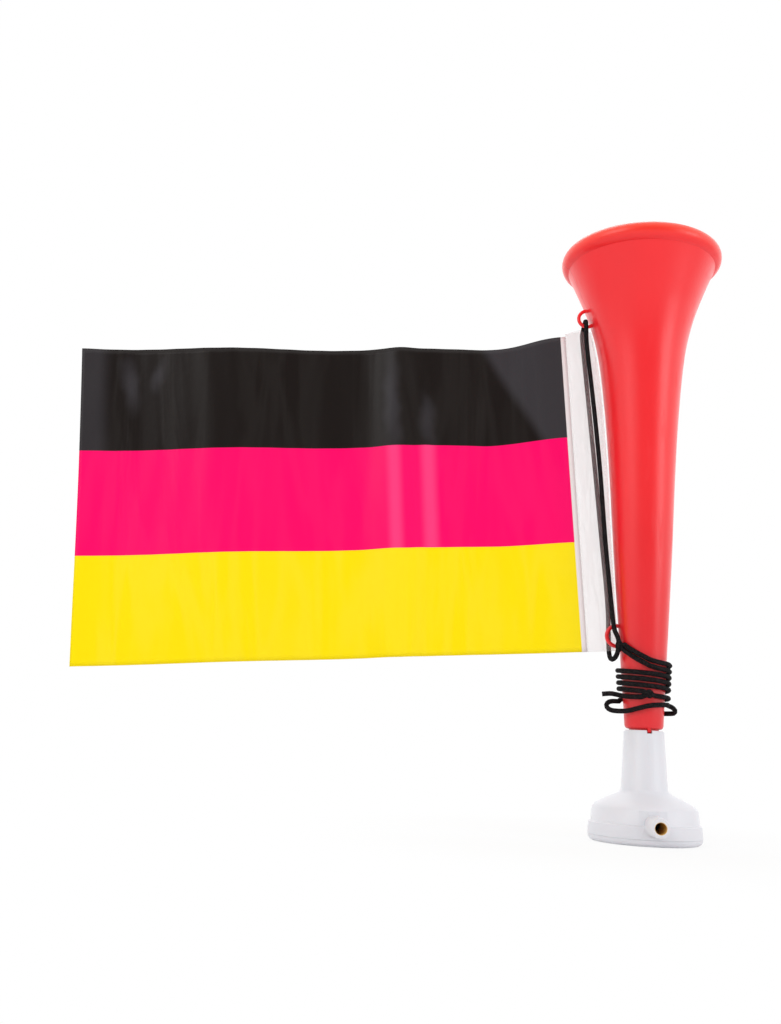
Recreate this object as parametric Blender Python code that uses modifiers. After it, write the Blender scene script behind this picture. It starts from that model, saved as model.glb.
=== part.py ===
"""Mouth-blown fan horn with a film reed, a two-eyelet horn, a lanyard cord and a three-striped flag.

Every size below is in millimetres; MM turns it into Blender's metres. The horn stands on its base: the
origin is the middle of the base's underside, +Z runs up the horn, the flag flies towards -X and the blow
nozzle points towards -Y.
"""
import math

import bpy
import bmesh
from mathutils import Vector

MM = 0.001
TURN_STEPS = 36          # steps round a turned piece
GAP = 0.3                # air between two pieces that meet

# Horn: height above the table and outer radius, from the collar up to the rim's bead
FLARE = ((40.1, 7.0), (67.2, 8.6), (103.0, 10.8), (138.5, 12.6), (165.0, 14.5), (186.6, 17.0),
         (200.8, 20.4), (211.5, 24.3), (222.6, 29.0))
FLARE_STEPS = 17
HORN_WALL = 1.3
BEAD_CENTRE_R = 27.9
BEAD_CENTRE_Z = 226.2
BEAD_R = 3.8             # the rim's top is the object's top, 230 mm
BEAD_FROM = -72.0        # degrees round the bead, where the flare meets it
BEAD_TO = 118.0          # degrees round the bead, at the mouth's edge
COLLAR_ROUNDING = 1.2
SPIGOT_R = 5.4
SPIGOT_BORE_R = 4.2
SPIGOT_BOTTOM_Z = 20.0
KEY_X = 0.3              # the small key under the horn's collar
KEY_WIDTH = 1.2
KEY_DROP = 1.2

# Eyelets: centre from the horn's axis, height, radius of the ring's middle, radius of its wire
UPPER_EYELET = (-21.8, 201.3, 3.35, 0.7)
LOWER_EYELET = (-9.9, 74.0, 3.85, 0.75)

# White chamber and its stem
STEM_TOP_Z = 39.6
STEM_TOP_R = 7.3
STEM_FOOT_R = 8.4
STEM_FOOT_Z = 18.6
FOOT_FILLET = 1.6
RIDGE_Z = 12.7
RIDGE_R = 18.2
BAND_TOP_R = 18.9
BAND_TOP_Z = 11.9
STEP_Z = 6.9
BAND_FOOT_R = 19.3
SKIRT_TOP_R = 20.1
SKIRT_FOOT_R = 20.4
SKIRT_FOOT_Z = 2.4
CHAMBER_R = 17.2         # inside of the air chamber
SOCKET_R = 5.75          # socket in the stem for the horn's spigot
SOCKET_FLOOR_Z = 19.4
SOUND_TUBE_R = 6.2
SOUND_BORE_R = 4.2
FILM_Z = 4.3
FILM_THICK = 0.2
NOTCH_WIDTH = 1.9

# Blow nozzle, turned a little from straight ahead
NOZZLE_TURN = -4.0       # degrees about the horn's axis
NOZZLE_Z = 7.1
NOZZLE_ROOT_Y = 18.9     # inside the wall, clear of the seat below
NOZZLE_TIP_Y = 30.5
NOZZLE_ROOT_R = 3.6
NOZZLE_TIP_R = 3.3
NOZZLE_BORE_R = 2.0
NOZZLE_EDGE = 0.5

# Base cap, clamp ring and reed film
CAP_R = 20.3
CAP_EDGE = 2.0
CAP_PLATE = 1.6
CAP_PLUG_R = 17.9
RING_IN_R = 14.6
RING_OUT_R = 17.9
VENT_CIRCLE_R = 9.0
VENT_R = 1.0
VENTS = 6

# Flag: one film, printed over the panel and folded and welded to a clear sleeve at the hoist
FLAG_LEAN = math.radians(4.3)
PANEL_CORNER = (-32.0, 194.3)     # x and z of the print's upper corner at the hoist
PANEL_WIDTH = 193.0
PANEL_HEIGHT = 127.0
WELD_MARGIN = 2.0
FLAG_Y = 3.0
FILM_SHEET = 0.25
SLEEVE_WIDTH = 17.0
SLEEVE_RISE = 1.0        # the sleeve's upper edge stands this much above the print's
SLEEVE_HALF = 1.5        # half the sleeve's swell round the cord
FLANK_ANGLE = 17.0       # degrees behind straight left, where the sleeve meets the horn's flank
FLANK_CLEAR = 1.1        # from the horn to the sleeve's middle there
HINGE_GAP = 0.5
PANEL_COLUMNS = 26
PANEL_ROWS = 8

# Lanyard cord
CORD_R = 0.9
FRONT_Y = -2.1           # the strand in front of the flag
WIND_CLEAR = 0.3
WIND_PITCH = 4.5         # each of the two strands; they lie between each other
WIND_LEVEL = 90.0        # degrees from straight ahead, where the level turns begin
LONG_LEVEL_Z = 63.4      # height of the long strand there
LONG_TURNED = 810.0      # where its level turns end
LONG_LEFT = (975.0, 50.2)
SHORT_DROP = 2.25        # how far the short strand lies below the long one
SHORT_TURNED = 703.0
LOOP_POINTS = 24
# How the strands drop from the knot: degrees from straight ahead, height above the level turns' start
LEAD_IN = ((-56.5, 7.0), (-40.0, 5.2), (-25.0, 3.7), (-10.0, 2.4), (0.0, 1.6), (15.0, 1.0), (30.0, 0.7),
           (45.0, 0.53), (60.0, 0.35), (75.0, 0.17))

RED = (0.83, 0.03, 0.05)
WHITE = (0.75, 0.75, 0.80)
BLACK = (0.012, 0.011, 0.012)
MAGENTA = (1.0, 0.0, 0.13)
YELLOW = (1.0, 0.79, 0.0)
CLEAR = (0.86, 0.84, 0.84)

# The run's route, in order: knot, front strand and over the upper eyelet's wire; x and z of the strand
# inside the sleeve; loop under the lower eyelet and back to the knot
FRONT_ROUTE = (
    (-10.2, -3.4, 72.75), (-10.8, -2.6, 74.6), (-11.5, -2.2, 77.0), (-12.3, FRONT_Y, 84.0),
    (-14.7, FRONT_Y, 109.0), (-16.8, FRONT_Y, 137.0), (-19.3, FRONT_Y, 163.0), (-22.1, FRONT_Y, 188.0),
    (-22.5, FRONT_Y, 196.0), (-22.5, -2.0, 198.1), (-22.5, -1.45, 199.5), (-22.5, 0.0, 200.15),
    (-22.5, 1.5, 199.6), (-22.6, 3.2, 198.5), (-22.7, 4.5, 197.2),
)
REAR_STRAND = (
    (-22.8, 196.0), (-22.6, 191.4), (-20.6, 170.0), (-17.9, 142.0), (-15.2, 113.0), (-12.9, 88.0),
    (-12.5, 77.0), (-12.4, 70.0),
)
LOOP_ROUTE = ((-12.2, 2.3, 66.6), (-11.8, 0.9, 65.3), (-11.2, -0.9, 65.5), (-10.6, -2.7, 66.8))
# The long strand below its turns: loop on the left, across the front, loop on the right, behind the horn
LEFT_LOOP = (
    (-8.9, 1.5, 49.9), (-11.5, 0.6, 49.8), (-13.4, -0.4, 49.2), (-14.1, -1.0, 47.9), (-13.2, -1.6, 46.7),
    (-11.1, -2.4, 46.2),
)
ACROSS = ((-60.0, 46.3), (-30.0, 47.2), (0.0, 48.4), (30.0, 48.9), (60.0, 49.1), (80.0, 49.0))
RIGHT_LOOP = ((10.3, -1.2, 48.4), (11.4, -0.8, 47.4), (11.3, 0.3, 46.4), (9.6, 1.6, 46.2))
BEHIND = ((122.0, 46.2), (150.0, 46.4))
# The two cut ends beyond the front knot: degrees and heights on the horn, then the left one's free tip
LEFT_END = ((-19.0, 51.4), (-40.0, 51.4), (-62.0, 51.6), (-80.0, 51.9))
LEFT_TIP = ((-10.9, -1.2, 52.3), (-12.7, -1.0, 52.5), (-15.6, -0.4, 52.2))
RIGHT_END = ((13.5, 52.0), (40.0, 51.8), (65.0, 51.6), (90.0, 51.4), (125.0, 51.2))
KNOTS = (                # name, centre, half sizes, turn about Z in degrees
    ("knot_eyelet", (-9.95, -3.8, 70.0), (1.4, 1.9, 2.35), 21.0),
    ("knot_front", (-0.3, -9.45, 52.6), (1.7, 1.3, 1.65), 0.0),
)


def clear_scene():
    """Removes every object and orphaned mesh of the start-up scene."""
    for obj in list(bpy.data.objects):
        bpy.data.objects.remove(obj, do_unlink=True)


def make_collection(name):
    collection = bpy.data.collections.new(name)
    bpy.context.scene.collection.children.link(collection)
    return collection


def material(name, colour, roughness, alpha=1.0):
    """A plain Principled material with the part's own colour."""
    made = bpy.data.materials.new(name)
    made.use_nodes = True
    made.diffuse_color = (*colour, alpha)
    shader = made.node_tree.nodes["Principled BSDF"]
    shader.inputs["Base Color"].default_value = (*colour, 1.0)
    shader.inputs["Roughness"].default_value = roughness
    shader.inputs["Metallic"].default_value = 0.0
    shader.inputs["Alpha"].default_value = alpha
    return made


def add_object(name, data, collection, finish=None):
    obj = bpy.data.objects.new(name, data)
    collection.objects.link(obj)
    if finish is not None and data is not None:
        data.materials.append(finish)
    return obj


def as_cutter(obj):
    """Marks a helper that shapes other pieces and isn't one itself."""
    obj.hide_render = True
    obj.display_type = "WIRE"


def smooth(obj, angle=40.0):
    obj.data.shade_smooth()
    obj.data.set_sharp_from_angle(angle=math.radians(angle))


def catmull(points, per_span):
    """Points of a centripetal-like smooth curve through every given point."""
    points = [Vector(p) for p in points]
    ends = [2 * points[0] - points[1]] + points + [2 * points[-1] - points[-2]]
    out = []
    for i in range(1, len(ends) - 2):
        before, a, b, after = ends[i - 1:i + 3]
        for k in range(per_span):
            t = k / per_span
            out.append(0.5 * ((2 * a) + (b - before) * t + (2 * before - 5 * a + 4 * b - after) * t ** 2
                              + (3 * a - 3 * b + after - before) * t ** 3))
    out.append(points[-1])
    return out


def evenly(points, spacing):
    """The same path with its points a steady distance apart."""
    lengths = [0.0]
    for a, b in zip(points, points[1:]):
        lengths.append(lengths[-1] + (b - a).length)
    count = max(2, round(lengths[-1] / spacing))
    out = []
    i = 0
    for k in range(count + 1):
        target = lengths[-1] * k / count
        while i < len(points) - 2 and lengths[i + 1] < target:
            i += 1
        share = (target - lengths[i]) / max(1e-9, lengths[i + 1] - lengths[i])
        out.append(points[i].lerp(points[i + 1], share))
    return out


def length_of(points):
    return sum((b - a).length for a, b in zip(points, points[1:]))


def arc(centre_r, centre_z, radius, start, end, steps):
    """Points (r, z) of an arc between two angles in degrees, both ends included."""
    angles = [math.radians(start + (end - start) * k / steps) for k in range(steps + 1)]
    return [(centre_r + radius * math.cos(a), centre_z + radius * math.sin(a)) for a in angles]


def flare_radius(z):
    """The horn's outer radius at a height, from a smooth curve through the FLARE stations."""
    path = FLARE_CURVE
    for (z0, r0), (z1, r1) in zip(path, path[1:]):
        if z <= z1:
            return r0 + (r1 - r0) * (z - z0) / (z1 - z0)
    return path[-1][1]


FLARE_CURVE = [(p.x, p.y) for p in catmull([(z, r, 0.0) for z, r in FLARE], 6)]


def turned(name, profile, collection, finish=None, steps=TURN_STEPS, closed=True):
    """A turned piece: a profile of (r, z) in millimetres, down its outer side, swept about the Z axis."""
    mesh = bpy.data.meshes.new(name)
    bm = bmesh.new()
    verts = [bm.verts.new((r * MM, 0.0, z * MM)) for r, z in profile]
    for a, b in zip(verts, verts[1:]):
        bm.edges.new((a, b))
    if closed:
        bm.edges.new((verts[-1], verts[0]))
    bm.to_mesh(mesh)
    bm.free()
    obj = add_object(name, mesh, collection, finish)
    screw = obj.modifiers.new("turn", "SCREW")
    screw.axis = "Z"
    screw.steps = steps
    screw.render_steps = steps
    screw.use_merge_vertices = True
    screw.merge_threshold = 0.00005
    screw.use_smooth_shade = True
    return obj


def boolean(obj, helper, operation):
    """Cuts or joins a helper shape; the helper is kept as a hidden guide."""
    modifier = obj.modifiers.new(f"{operation.lower()} {helper.name}", "BOOLEAN")
    modifier.operation = operation
    modifier.solver = "EXACT"
    modifier.object = helper
    as_cutter(helper)


def cone_between(name, start, end, start_r, end_r, collection, sides=32):
    """A round bar from one point to another, all in millimetres."""
    start, end = Vector(start), Vector(end)
    mesh = bpy.data.meshes.new(name)
    bm = bmesh.new()
    bmesh.ops.create_cone(bm, cap_ends=True, segments=sides, radius1=start_r * MM, radius2=end_r * MM,
                          depth=(end - start).length * MM)
    bm.to_mesh(mesh)
    bm.free()
    obj = add_object(name, mesh, collection)
    obj.location = (start + end) / 2 * MM
    obj.rotation_mode = "QUATERNION"
    obj.rotation_quaternion = Vector((0, 0, 1)).rotation_difference(end - start)
    return obj


def block(name, centre, size, collection):
    mesh = bpy.data.meshes.new(name)
    bm = bmesh.new()
    bmesh.ops.create_cube(bm, size=1.0)
    bmesh.ops.scale(bm, vec=Vector(size) * MM, verts=bm.verts)
    bm.to_mesh(mesh)
    bm.free()
    obj = add_object(name, mesh, collection)
    obj.location = Vector(centre) * MM
    return obj


def tube(name, path, radius, collection, finish, resolution=2):
    """A cord as a curve with round section and filled caps, along points in millimetres."""
    curve = bpy.data.curves.new(name, "CURVE")
    curve.dimensions = "3D"
    curve.bevel_depth = radius * MM
    curve.bevel_resolution = resolution
    curve.use_fill_caps = True
    spline = curve.splines.new("POLY")
    spline.points.add(len(path) - 1)
    for point, place in zip(spline.points, path):
        point.co = (*(place * MM), 1.0)
    obj = add_object(name, curve, collection, finish)
    return obj


def sheet(name, rows, collection, finish, thickness=FILM_SHEET):
    """A film given as rows of points in millimetres, thickened evenly to both sides."""
    mesh = bpy.data.meshes.new(name)
    bm = bmesh.new()
    grid = [[bm.verts.new(p * MM) for p in row] for row in rows]
    for upper, lower in zip(grid, grid[1:]):
        for k in range(len(upper) - 1):
            bm.faces.new((upper[k], upper[k + 1], lower[k + 1], lower[k]))
    bm.to_mesh(mesh)
    bm.free()
    obj = add_object(name, mesh, collection, finish)
    solid = obj.modifiers.new("film", "SOLIDIFY")
    solid.thickness = thickness * MM
    solid.offset = 0.0
    return obj


def horn_profile():
    """The horn's wall: over the bead, down the flare and spigot, and back up the inside."""
    heights = [FLARE[0][0] + 1.4 + (FLARE[-1][0] - FLARE[0][0] - 1.4) * (k / FLARE_STEPS) ** 0.85
               for k in range(FLARE_STEPS, -1, -1)]
    bead = arc(BEAD_CENTRE_R, BEAD_CENTRE_Z, BEAD_R, BEAD_TO, BEAD_FROM, 11)
    outer = [(flare_radius(z), z) for z in heights[1:]]
    collar_r = FLARE[0][1]
    collar_z = FLARE[0][0]
    rounding = arc(collar_r - COLLAR_ROUNDING, collar_z + COLLAR_ROUNDING, COLLAR_ROUNDING, 0.0, -90.0, 3)[1:]
    spigot = [(SPIGOT_R, collar_z), (SPIGOT_R, SPIGOT_BOTTOM_Z), (SPIGOT_BORE_R, SPIGOT_BOTTOM_Z),
              (SPIGOT_BORE_R, collar_z + 1.0)]
    inner_heights = heights[::-2][1:]
    inner = [(flare_radius(z) - HORN_WALL, z) for z in inner_heights[:-1]]
    hollow = arc(BEAD_CENTRE_R, BEAD_CENTRE_Z, BEAD_R - HORN_WALL, -62.0, BEAD_TO, 8)
    return bead + outer + rounding + spigot + inner + hollow


def horn_filler_profile():
    """A core as wide as the middle of the horn's wall, to trim what would poke into the bore."""
    heights = [FLARE[0][0] + 5.0 + 25.0 * k for k in range(7, -1, -1)]
    side = [(flare_radius(z) - HORN_WALL / 2, z) for z in heights]
    top = (flare_radius(212.0) - HORN_WALL / 2, 212.0)
    return [(0.0, 212.0), top] + side + [(0.0, side[-1][1])]


def make_horn(parts, cutters, finish):
    horn = turned("horn_bell", horn_profile(), parts, finish)
    core = turned("horn_core", horn_filler_profile(), cutters, closed=False)
    as_cutter(core)
    for name, (x, z, ring_r, wire_r) in (("upper_eyelet", UPPER_EYELET), ("lower_eyelet", LOWER_EYELET)):
        bpy.ops.mesh.primitive_torus_add(major_radius=ring_r * MM, minor_radius=wire_r * MM,
                                         major_segments=28, minor_segments=8, location=(x * MM, 0.0, z * MM),
                                         rotation=(math.radians(90.0), 0.0, 0.0))
        ring = bpy.context.object
        ring.name = name
        for owner in list(ring.users_collection):
            owner.objects.unlink(ring)
        cutters.objects.link(ring)
        boolean(ring, core, "DIFFERENCE")
        boolean(horn, ring, "UNION")
    collar_z = FLARE[0][0]
    key = block("collar_key", (KEY_X, -5.9, collar_z - KEY_DROP / 2 + 0.4),
                (KEY_WIDTH, 1.5, KEY_DROP + 0.8), cutters)
    boolean(horn, key, "UNION")
    return horn


def chamber_profile():
    """The white moulding: stem, shoulder, two bands, seat for the film, air chamber and sound tube."""
    stem_slope = (STEM_FOOT_R - STEM_TOP_R) / (STEM_TOP_Z - STEM_FOOT_Z)
    outer = [(STEM_TOP_R - 0.5, STEM_TOP_Z), (STEM_TOP_R, STEM_TOP_Z - 0.5)]
    outer += [(STEM_TOP_R + stem_slope * k * 5.0, STEM_TOP_Z - k * 5.0) for k in (1, 2, 3)]
    outer += [(STEM_FOOT_R, STEM_FOOT_Z), (STEM_FOOT_R + 0.4, STEM_FOOT_Z - 0.9),
              (STEM_FOOT_R + FOOT_FILLET, STEM_FOOT_Z - 1.7)]
    outer += [(14.2, 15.1), (RIDGE_R - 0.8, 13.4), (RIDGE_R, RIDGE_Z), (BAND_TOP_R, BAND_TOP_Z)]
    outer += [(BAND_FOOT_R, STEP_Z + 0.4), (BAND_FOOT_R + 0.15, STEP_Z), (SKIRT_TOP_R - 0.2, STEP_Z - 0.05),
              (SKIRT_TOP_R, STEP_Z - 0.3), (SKIRT_FOOT_R, SKIRT_FOOT_Z)]
    seat_z = FILM_Z + FILM_THICK + GAP
    seat = [(CAP_PLUG_R + GAP, SKIRT_FOOT_Z), (CAP_PLUG_R + GAP, seat_z), (CHAMBER_R - 0.9, seat_z)]
    chamber = [(CHAMBER_R - 0.9, 9.8), (CHAMBER_R - 2.2, 11.6), (SOUND_TUBE_R + 1.2, 13.8),
               (SOUND_TUBE_R, 13.0)]
    tube_end = [(SOUND_TUBE_R, seat_z), (SOUND_BORE_R, seat_z)]
    bore = [(SOUND_BORE_R, SOCKET_FLOOR_Z), (SOCKET_R, SOCKET_FLOOR_Z), (SOCKET_R, STEM_TOP_Z)]
    return outer + seat + chamber + tube_end + bore


def make_chamber(parts, cutters, finish):
    body = turned("chamber_body", chamber_profile(), parts, finish)
    turn = math.radians(NOZZLE_TURN)
    forward = Vector((math.sin(turn), -math.cos(turn), 0.0))
    level = Vector((0.0, 0.0, NOZZLE_Z))
    nozzle = cone_between("nozzle_form", forward * NOZZLE_ROOT_Y + level, forward * NOZZLE_TIP_Y + level,
                          NOZZLE_ROOT_R, NOZZLE_TIP_R, cutters)
    edge = nozzle.modifiers.new("rounded tip", "BEVEL")
    edge.width = NOZZLE_EDGE * MM
    edge.segments = 2
    edge.limit_method = "ANGLE"
    bore = cone_between("nozzle_bore", forward * (CHAMBER_R - 3.0) + level,
                        forward * (NOZZLE_TIP_Y + 2.0) + level, NOZZLE_BORE_R, NOZZLE_BORE_R, cutters, 20)
    notch = block("stem_notch", (KEY_X, -7.2, STEM_TOP_Z), (NOTCH_WIDTH, 4.2, 2.2), cutters)
    boolean(body, nozzle, "UNION")
    boolean(body, bore, "DIFFERENCE")
    boolean(body, notch, "DIFFERENCE")
    return body


def make_cap(parts, cutters, finish):
    rounding = arc(CAP_R - CAP_EDGE, CAP_EDGE, CAP_EDGE, 0.0, -90.0, 5)
    plug_top = FILM_Z - 2 * GAP - 1.2
    profile = ([(0.0, CAP_PLATE), (RING_IN_R, CAP_PLATE), (RING_IN_R, plug_top), (CAP_PLUG_R, plug_top),
                (CAP_PLUG_R, SKIRT_FOOT_Z - GAP), (CAP_R, SKIRT_FOOT_Z - GAP)]
               + rounding + [(0.0, 0.0)])
    cap = turned("base_cap", profile, parts, finish, closed=False)
    for k in range(VENTS):
        a = 2 * math.pi * (k + 0.5) / VENTS
        x, y = VENT_CIRCLE_R * math.cos(a), VENT_CIRCLE_R * math.sin(a)
        vent = cone_between(f"vent_{k + 1}", (x, y, -1.0), (x, y, CAP_PLATE + 1.0), VENT_R, VENT_R, cutters,
                            12)
        boolean(cap, vent, "DIFFERENCE")
    return cap


def make_reed(parts, white, film):
    ring_top = FILM_Z - GAP
    ring_low = ring_top - 1.2
    ring = [(RING_OUT_R, ring_top), (RING_OUT_R, ring_low), (RING_IN_R, ring_low), (RING_IN_R, ring_top)]
    turned("clamp_ring", ring, parts, white)
    film_top = FILM_Z + FILM_THICK
    disc = [(0.0, film_top), (RING_OUT_R, film_top), (RING_OUT_R, FILM_Z), (0.0, FILM_Z)]
    turned("reed_film", disc, parts, film, closed=False)


def hoist_point(across, down, y):
    """A point of the flag: across from the weld towards the horn, down from the print's upper edge."""
    x0 = PANEL_CORNER[0] + WELD_MARGIN * math.cos(FLAG_LEAN)
    z0 = PANEL_CORNER[1] + WELD_MARGIN * math.sin(FLAG_LEAN)
    x = x0 + across * math.cos(FLAG_LEAN) + down * math.sin(FLAG_LEAN)
    z = z0 + across * math.sin(FLAG_LEAN) - down * math.cos(FLAG_LEAN)
    return Vector((x, y, z))


def wave(across, down):
    """How far the panel stands off its plane: upright folds that grow towards the fly's middle."""
    reach = across / PANEL_WIDTH
    fold = 1.6 * math.sin(reach * 15.0 + 0.5) * min(1.0, reach * 3.0)
    ridge = 2.2 * math.exp(-((across - 68.0 - 0.06 * down) / 7.0) ** 2)
    lift = 1.2 * reach ** 2 * math.sin(down / PANEL_HEIGHT * 4.0)
    return fold - ridge + lift


def make_flag(parts, clear, prints):
    rows = []
    for j in range(PANEL_ROWS + 1):
        down = PANEL_HEIGHT * j / PANEL_ROWS
        row = []
        for i in range(PANEL_COLUMNS + 1):
            across = HINGE_GAP + (PANEL_WIDTH + WELD_MARGIN - HINGE_GAP) * i / PANEL_COLUMNS
            row.append(hoist_point(-across, down, FLAG_Y + wave(across, down)))
        rows.append(row[::-1])
    panel = sheet("flag_panel", rows, parts, prints[0])
    for extra in prints[1:]:
        panel.data.materials.append(extra)
    for face in panel.data.polygons:
        row = face.index // PANEL_COLUMNS
        face.material_index = min(2, row * 3 // PANEL_ROWS)

    rows = []
    for j in range(PANEL_ROWS + 1):
        share = j / PANEL_ROWS
        down = -SLEEVE_RISE + (PANEL_HEIGHT + SLEEVE_RISE) * share
        rows.append(sleeve_section(down))
    return sheet("flag_sleeve", rows, parts, clear)


def sleeve_line(down):
    """The sleeve's middle at one level: its weld, and where it first lies against the horn's flank."""
    weld = hoist_point(0.0, down, FLAG_Y)
    shell_r = flare_radius(weld.z) + FLANK_CLEAR
    angle = math.radians(FLANK_ANGLE)
    return weld, Vector((-shell_r * math.cos(angle), shell_r * math.sin(angle), weld.z))


def rear_strand(x, z):
    """A point of the strand inside the sleeve, on the sleeve's middle at its height."""
    weld, touch = sleeve_line((PANEL_CORNER[1] - z) / math.cos(FLAG_LEAN))
    return Vector((x, weld.y + (touch.y - weld.y) * (x - weld.x) / (touch.x - weld.x), z))


def cord_x(z):
    """Where the rear strand runs at a height."""
    points = sorted((z0, x0) for x0, z0 in REAR_STRAND)
    for (z0, x0), (z1, x1) in zip(points, points[1:]):
        if z <= z1:
            return x0 + (x1 - x0) * (z - z0) / (z1 - z0)
    return points[-1][1]


def sleeve_section(down):
    """One level of the sleeve: from the weld round the cord to the fold behind the horn, and back."""
    weld, touch = sleeve_line(down)
    reach = (touch - weld).length
    ahead = (touch - weld).normalized()
    angle = math.radians(FLANK_ANGLE)
    back = Vector((math.sin(angle), math.cos(angle), 0.0))
    cord = (cord_x(weld.z) - weld.x) / ahead.x
    fall = min(6.0, reach - cord)
    stations = [HINGE_GAP, cord * 0.3, cord * 0.55, cord - 2.2, cord - 1.1, cord, cord + fall * 0.45,
                cord + fall, reach + (SLEEVE_WIDTH - reach) * 0.35, reach + (SLEEVE_WIDTH - reach) * 0.7,
                SLEEVE_WIDTH]
    middle, sides = [], []
    for s in stations:
        along = ahead if s <= reach + 0.01 else back
        place = weld + ahead * s if s <= reach + 0.01 else touch + back * (s - reach)
        width = cord if s < cord else fall
        lift = (math.cos(math.pi * min(1.0, abs(s - cord) / width)) + 1) / 2
        middle.append(place)
        sides.append(Vector((along.y, -along.x, 0.0)) * (0.3 + (SLEEVE_HALF - 0.3) * lift))
    front = [m + n for m, n in zip(middle, sides)]
    rear = [m - n for m, n in zip(middle, sides)]
    turn = middle[-1] + back * 0.4
    rise = Vector((0.0, 0.0, math.sin(FLAG_LEAN)))
    return [p + rise * (p - weld).xy.length for p in front + [turn] + rear[::-1]]


def on_horn(degrees, z):
    """A point of a cord that lies on the horn, by its angle from straight ahead and its height."""
    r = flare_radius(z) + WIND_CLEAR + CORD_R
    a = math.radians(degrees)
    return Vector((r * math.sin(a), -r * math.cos(a), z))


def wound(level_z, stop):
    """A strand from the eyelet's knot: a steep lead-in across the front, then level turns."""
    path = [on_horn(degrees, level_z + above) for degrees, above in LEAD_IN]
    step = 360.0 / LOOP_POINTS
    count = round((stop - WIND_LEVEL) / step)
    for k in range(count + 1):
        degrees = WIND_LEVEL + (stop - WIND_LEVEL) * k / count
        path.append(on_horn(degrees, level_z - WIND_PITCH * (degrees - WIND_LEVEL) / 360.0))
    return path


def long_strand():
    path = wound(LONG_LEVEL_Z, LONG_TURNED)
    start_z = path[-1].z
    count = 11
    for k in range(1, count + 1):
        share = k / count
        path.append(on_horn(LONG_TURNED + (LONG_LEFT[0] - LONG_TURNED) * share,
                            start_z + (LONG_LEFT[1] - start_z) * share ** 1.2))
    across = [on_horn(*p) for p in ACROSS]
    behind = [on_horn(*p) for p in BEHIND]
    loops = [path[-1], *LEFT_LOOP, *across, *RIGHT_LOOP, *behind]
    return path + evenly(catmull(loops, 8), 1.9)[1:]


def least_gap(path, radius, skip):
    """The least air between stretches of one tube that are at least skip points apart."""
    least = float("inf")
    for i, a in enumerate(path):
        for b in path[i + skip:]:
            least = min(least, (a - b).length)
    return least - 2 * radius


def make_knot(name, centre, halves, turn, collection, finish):
    """A tied knot as one solid lump, with a ridge for each turn of cord that crosses it."""
    mesh = bpy.data.meshes.new(name)
    bm = bmesh.new()
    bmesh.ops.create_icosphere(bm, subdivisions=3, radius=1.0)
    ridges = [Vector(n).normalized() for n in ((0.2, 0.1, 1.0), (0.9, 0.3, 0.35), (-0.55, 0.5, 0.7))]
    for vert in bm.verts:
        out = vert.co.normalized()
        height = max(math.exp(-(out.dot(n) / 0.3) ** 2) for n in ridges)
        place = out * (0.8 + 0.2 * height)
        vert.co = Vector((place.x * halves[0], place.y * halves[1], place.z * halves[2])) * MM
    bm.to_mesh(mesh)
    bm.free()
    knot = add_object(name, mesh, collection, finish)
    knot.location = Vector(centre) * MM
    knot.rotation_euler = (0.0, 0.0, math.radians(turn))
    knot.data.shade_smooth()
    return knot


def make_cord(parts, finish):
    sleeved = [rear_strand(x, z) for x, z in REAR_STRAND]
    run = evenly(catmull([*FRONT_ROUTE, *sleeved, *LOOP_ROUTE], 8), 4.0)
    long_path = long_strand()
    short_path = wound(LONG_LEVEL_Z - SHORT_DROP, SHORT_TURNED)
    left_end = evenly(catmull([*(on_horn(*p) for p in LEFT_END), *map(Vector, LEFT_TIP)], 6), 1.8)
    right_end = evenly(catmull([on_horn(*p) for p in RIGHT_END], 6), 1.8)
    for name, path, resolution in (("cord_run", run, 2), ("cord_long_strand", long_path, 1),
                                   ("cord_short_strand", short_path, 1), ("cord_left_end", left_end, 2),
                                   ("cord_right_end", right_end, 2)):
        tube(name, path, CORD_R, parts, finish, resolution)
        print(f"{name}: {length_of(path):.0f} mm")
    print(f"least gap inside the long strand: {least_gap(long_path, CORD_R, 4):.2f} mm")
    print(f"least gap inside the short strand: {least_gap(short_path, CORD_R, 4):.2f} mm")
    for name, centre, halves, turn in KNOTS:
        make_knot(name, centre, halves, turn, parts, finish)


def main():
    clear_scene()
    parts = make_collection("stadium_horn")
    cutters = make_collection("cutters")
    red = material("red plastic", RED, 0.35)
    white = material("white plastic", WHITE, 0.45)
    black = material("black cord", BLACK, 0.8)
    film = material("reed film", CLEAR, 0.2, 0.6)
    clear = material("clear sleeve", CLEAR, 0.3, 0.6)
    prints = [material("black print", BLACK, 0.3), material("magenta print", MAGENTA, 0.4),
              material("yellow print", YELLOW, 0.4)]
    horn = make_horn(parts, cutters, red)
    body = make_chamber(parts, cutters, white)
    cap = make_cap(parts, cutters, white)
    make_reed(parts, white, film)
    make_flag(parts, clear, prints)
    make_cord(parts, black)
    for obj in (horn, body, cap):
        smooth(obj)


main()
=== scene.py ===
"""Looks of a mouth-blown fan horn: red horn, white reed chamber, black cord and a three-striped flag.

Sizes are in millimetres and MM turns them into metres. The horn stands on its base at the origin, +Z runs
up it, the flag flies towards -X and the nozzle points towards -Y.
"""
import math

import bmesh
import bpy
from bpy.props import FloatProperty, FloatVectorProperty, PointerProperty
from mathutils import Matrix, Vector


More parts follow.
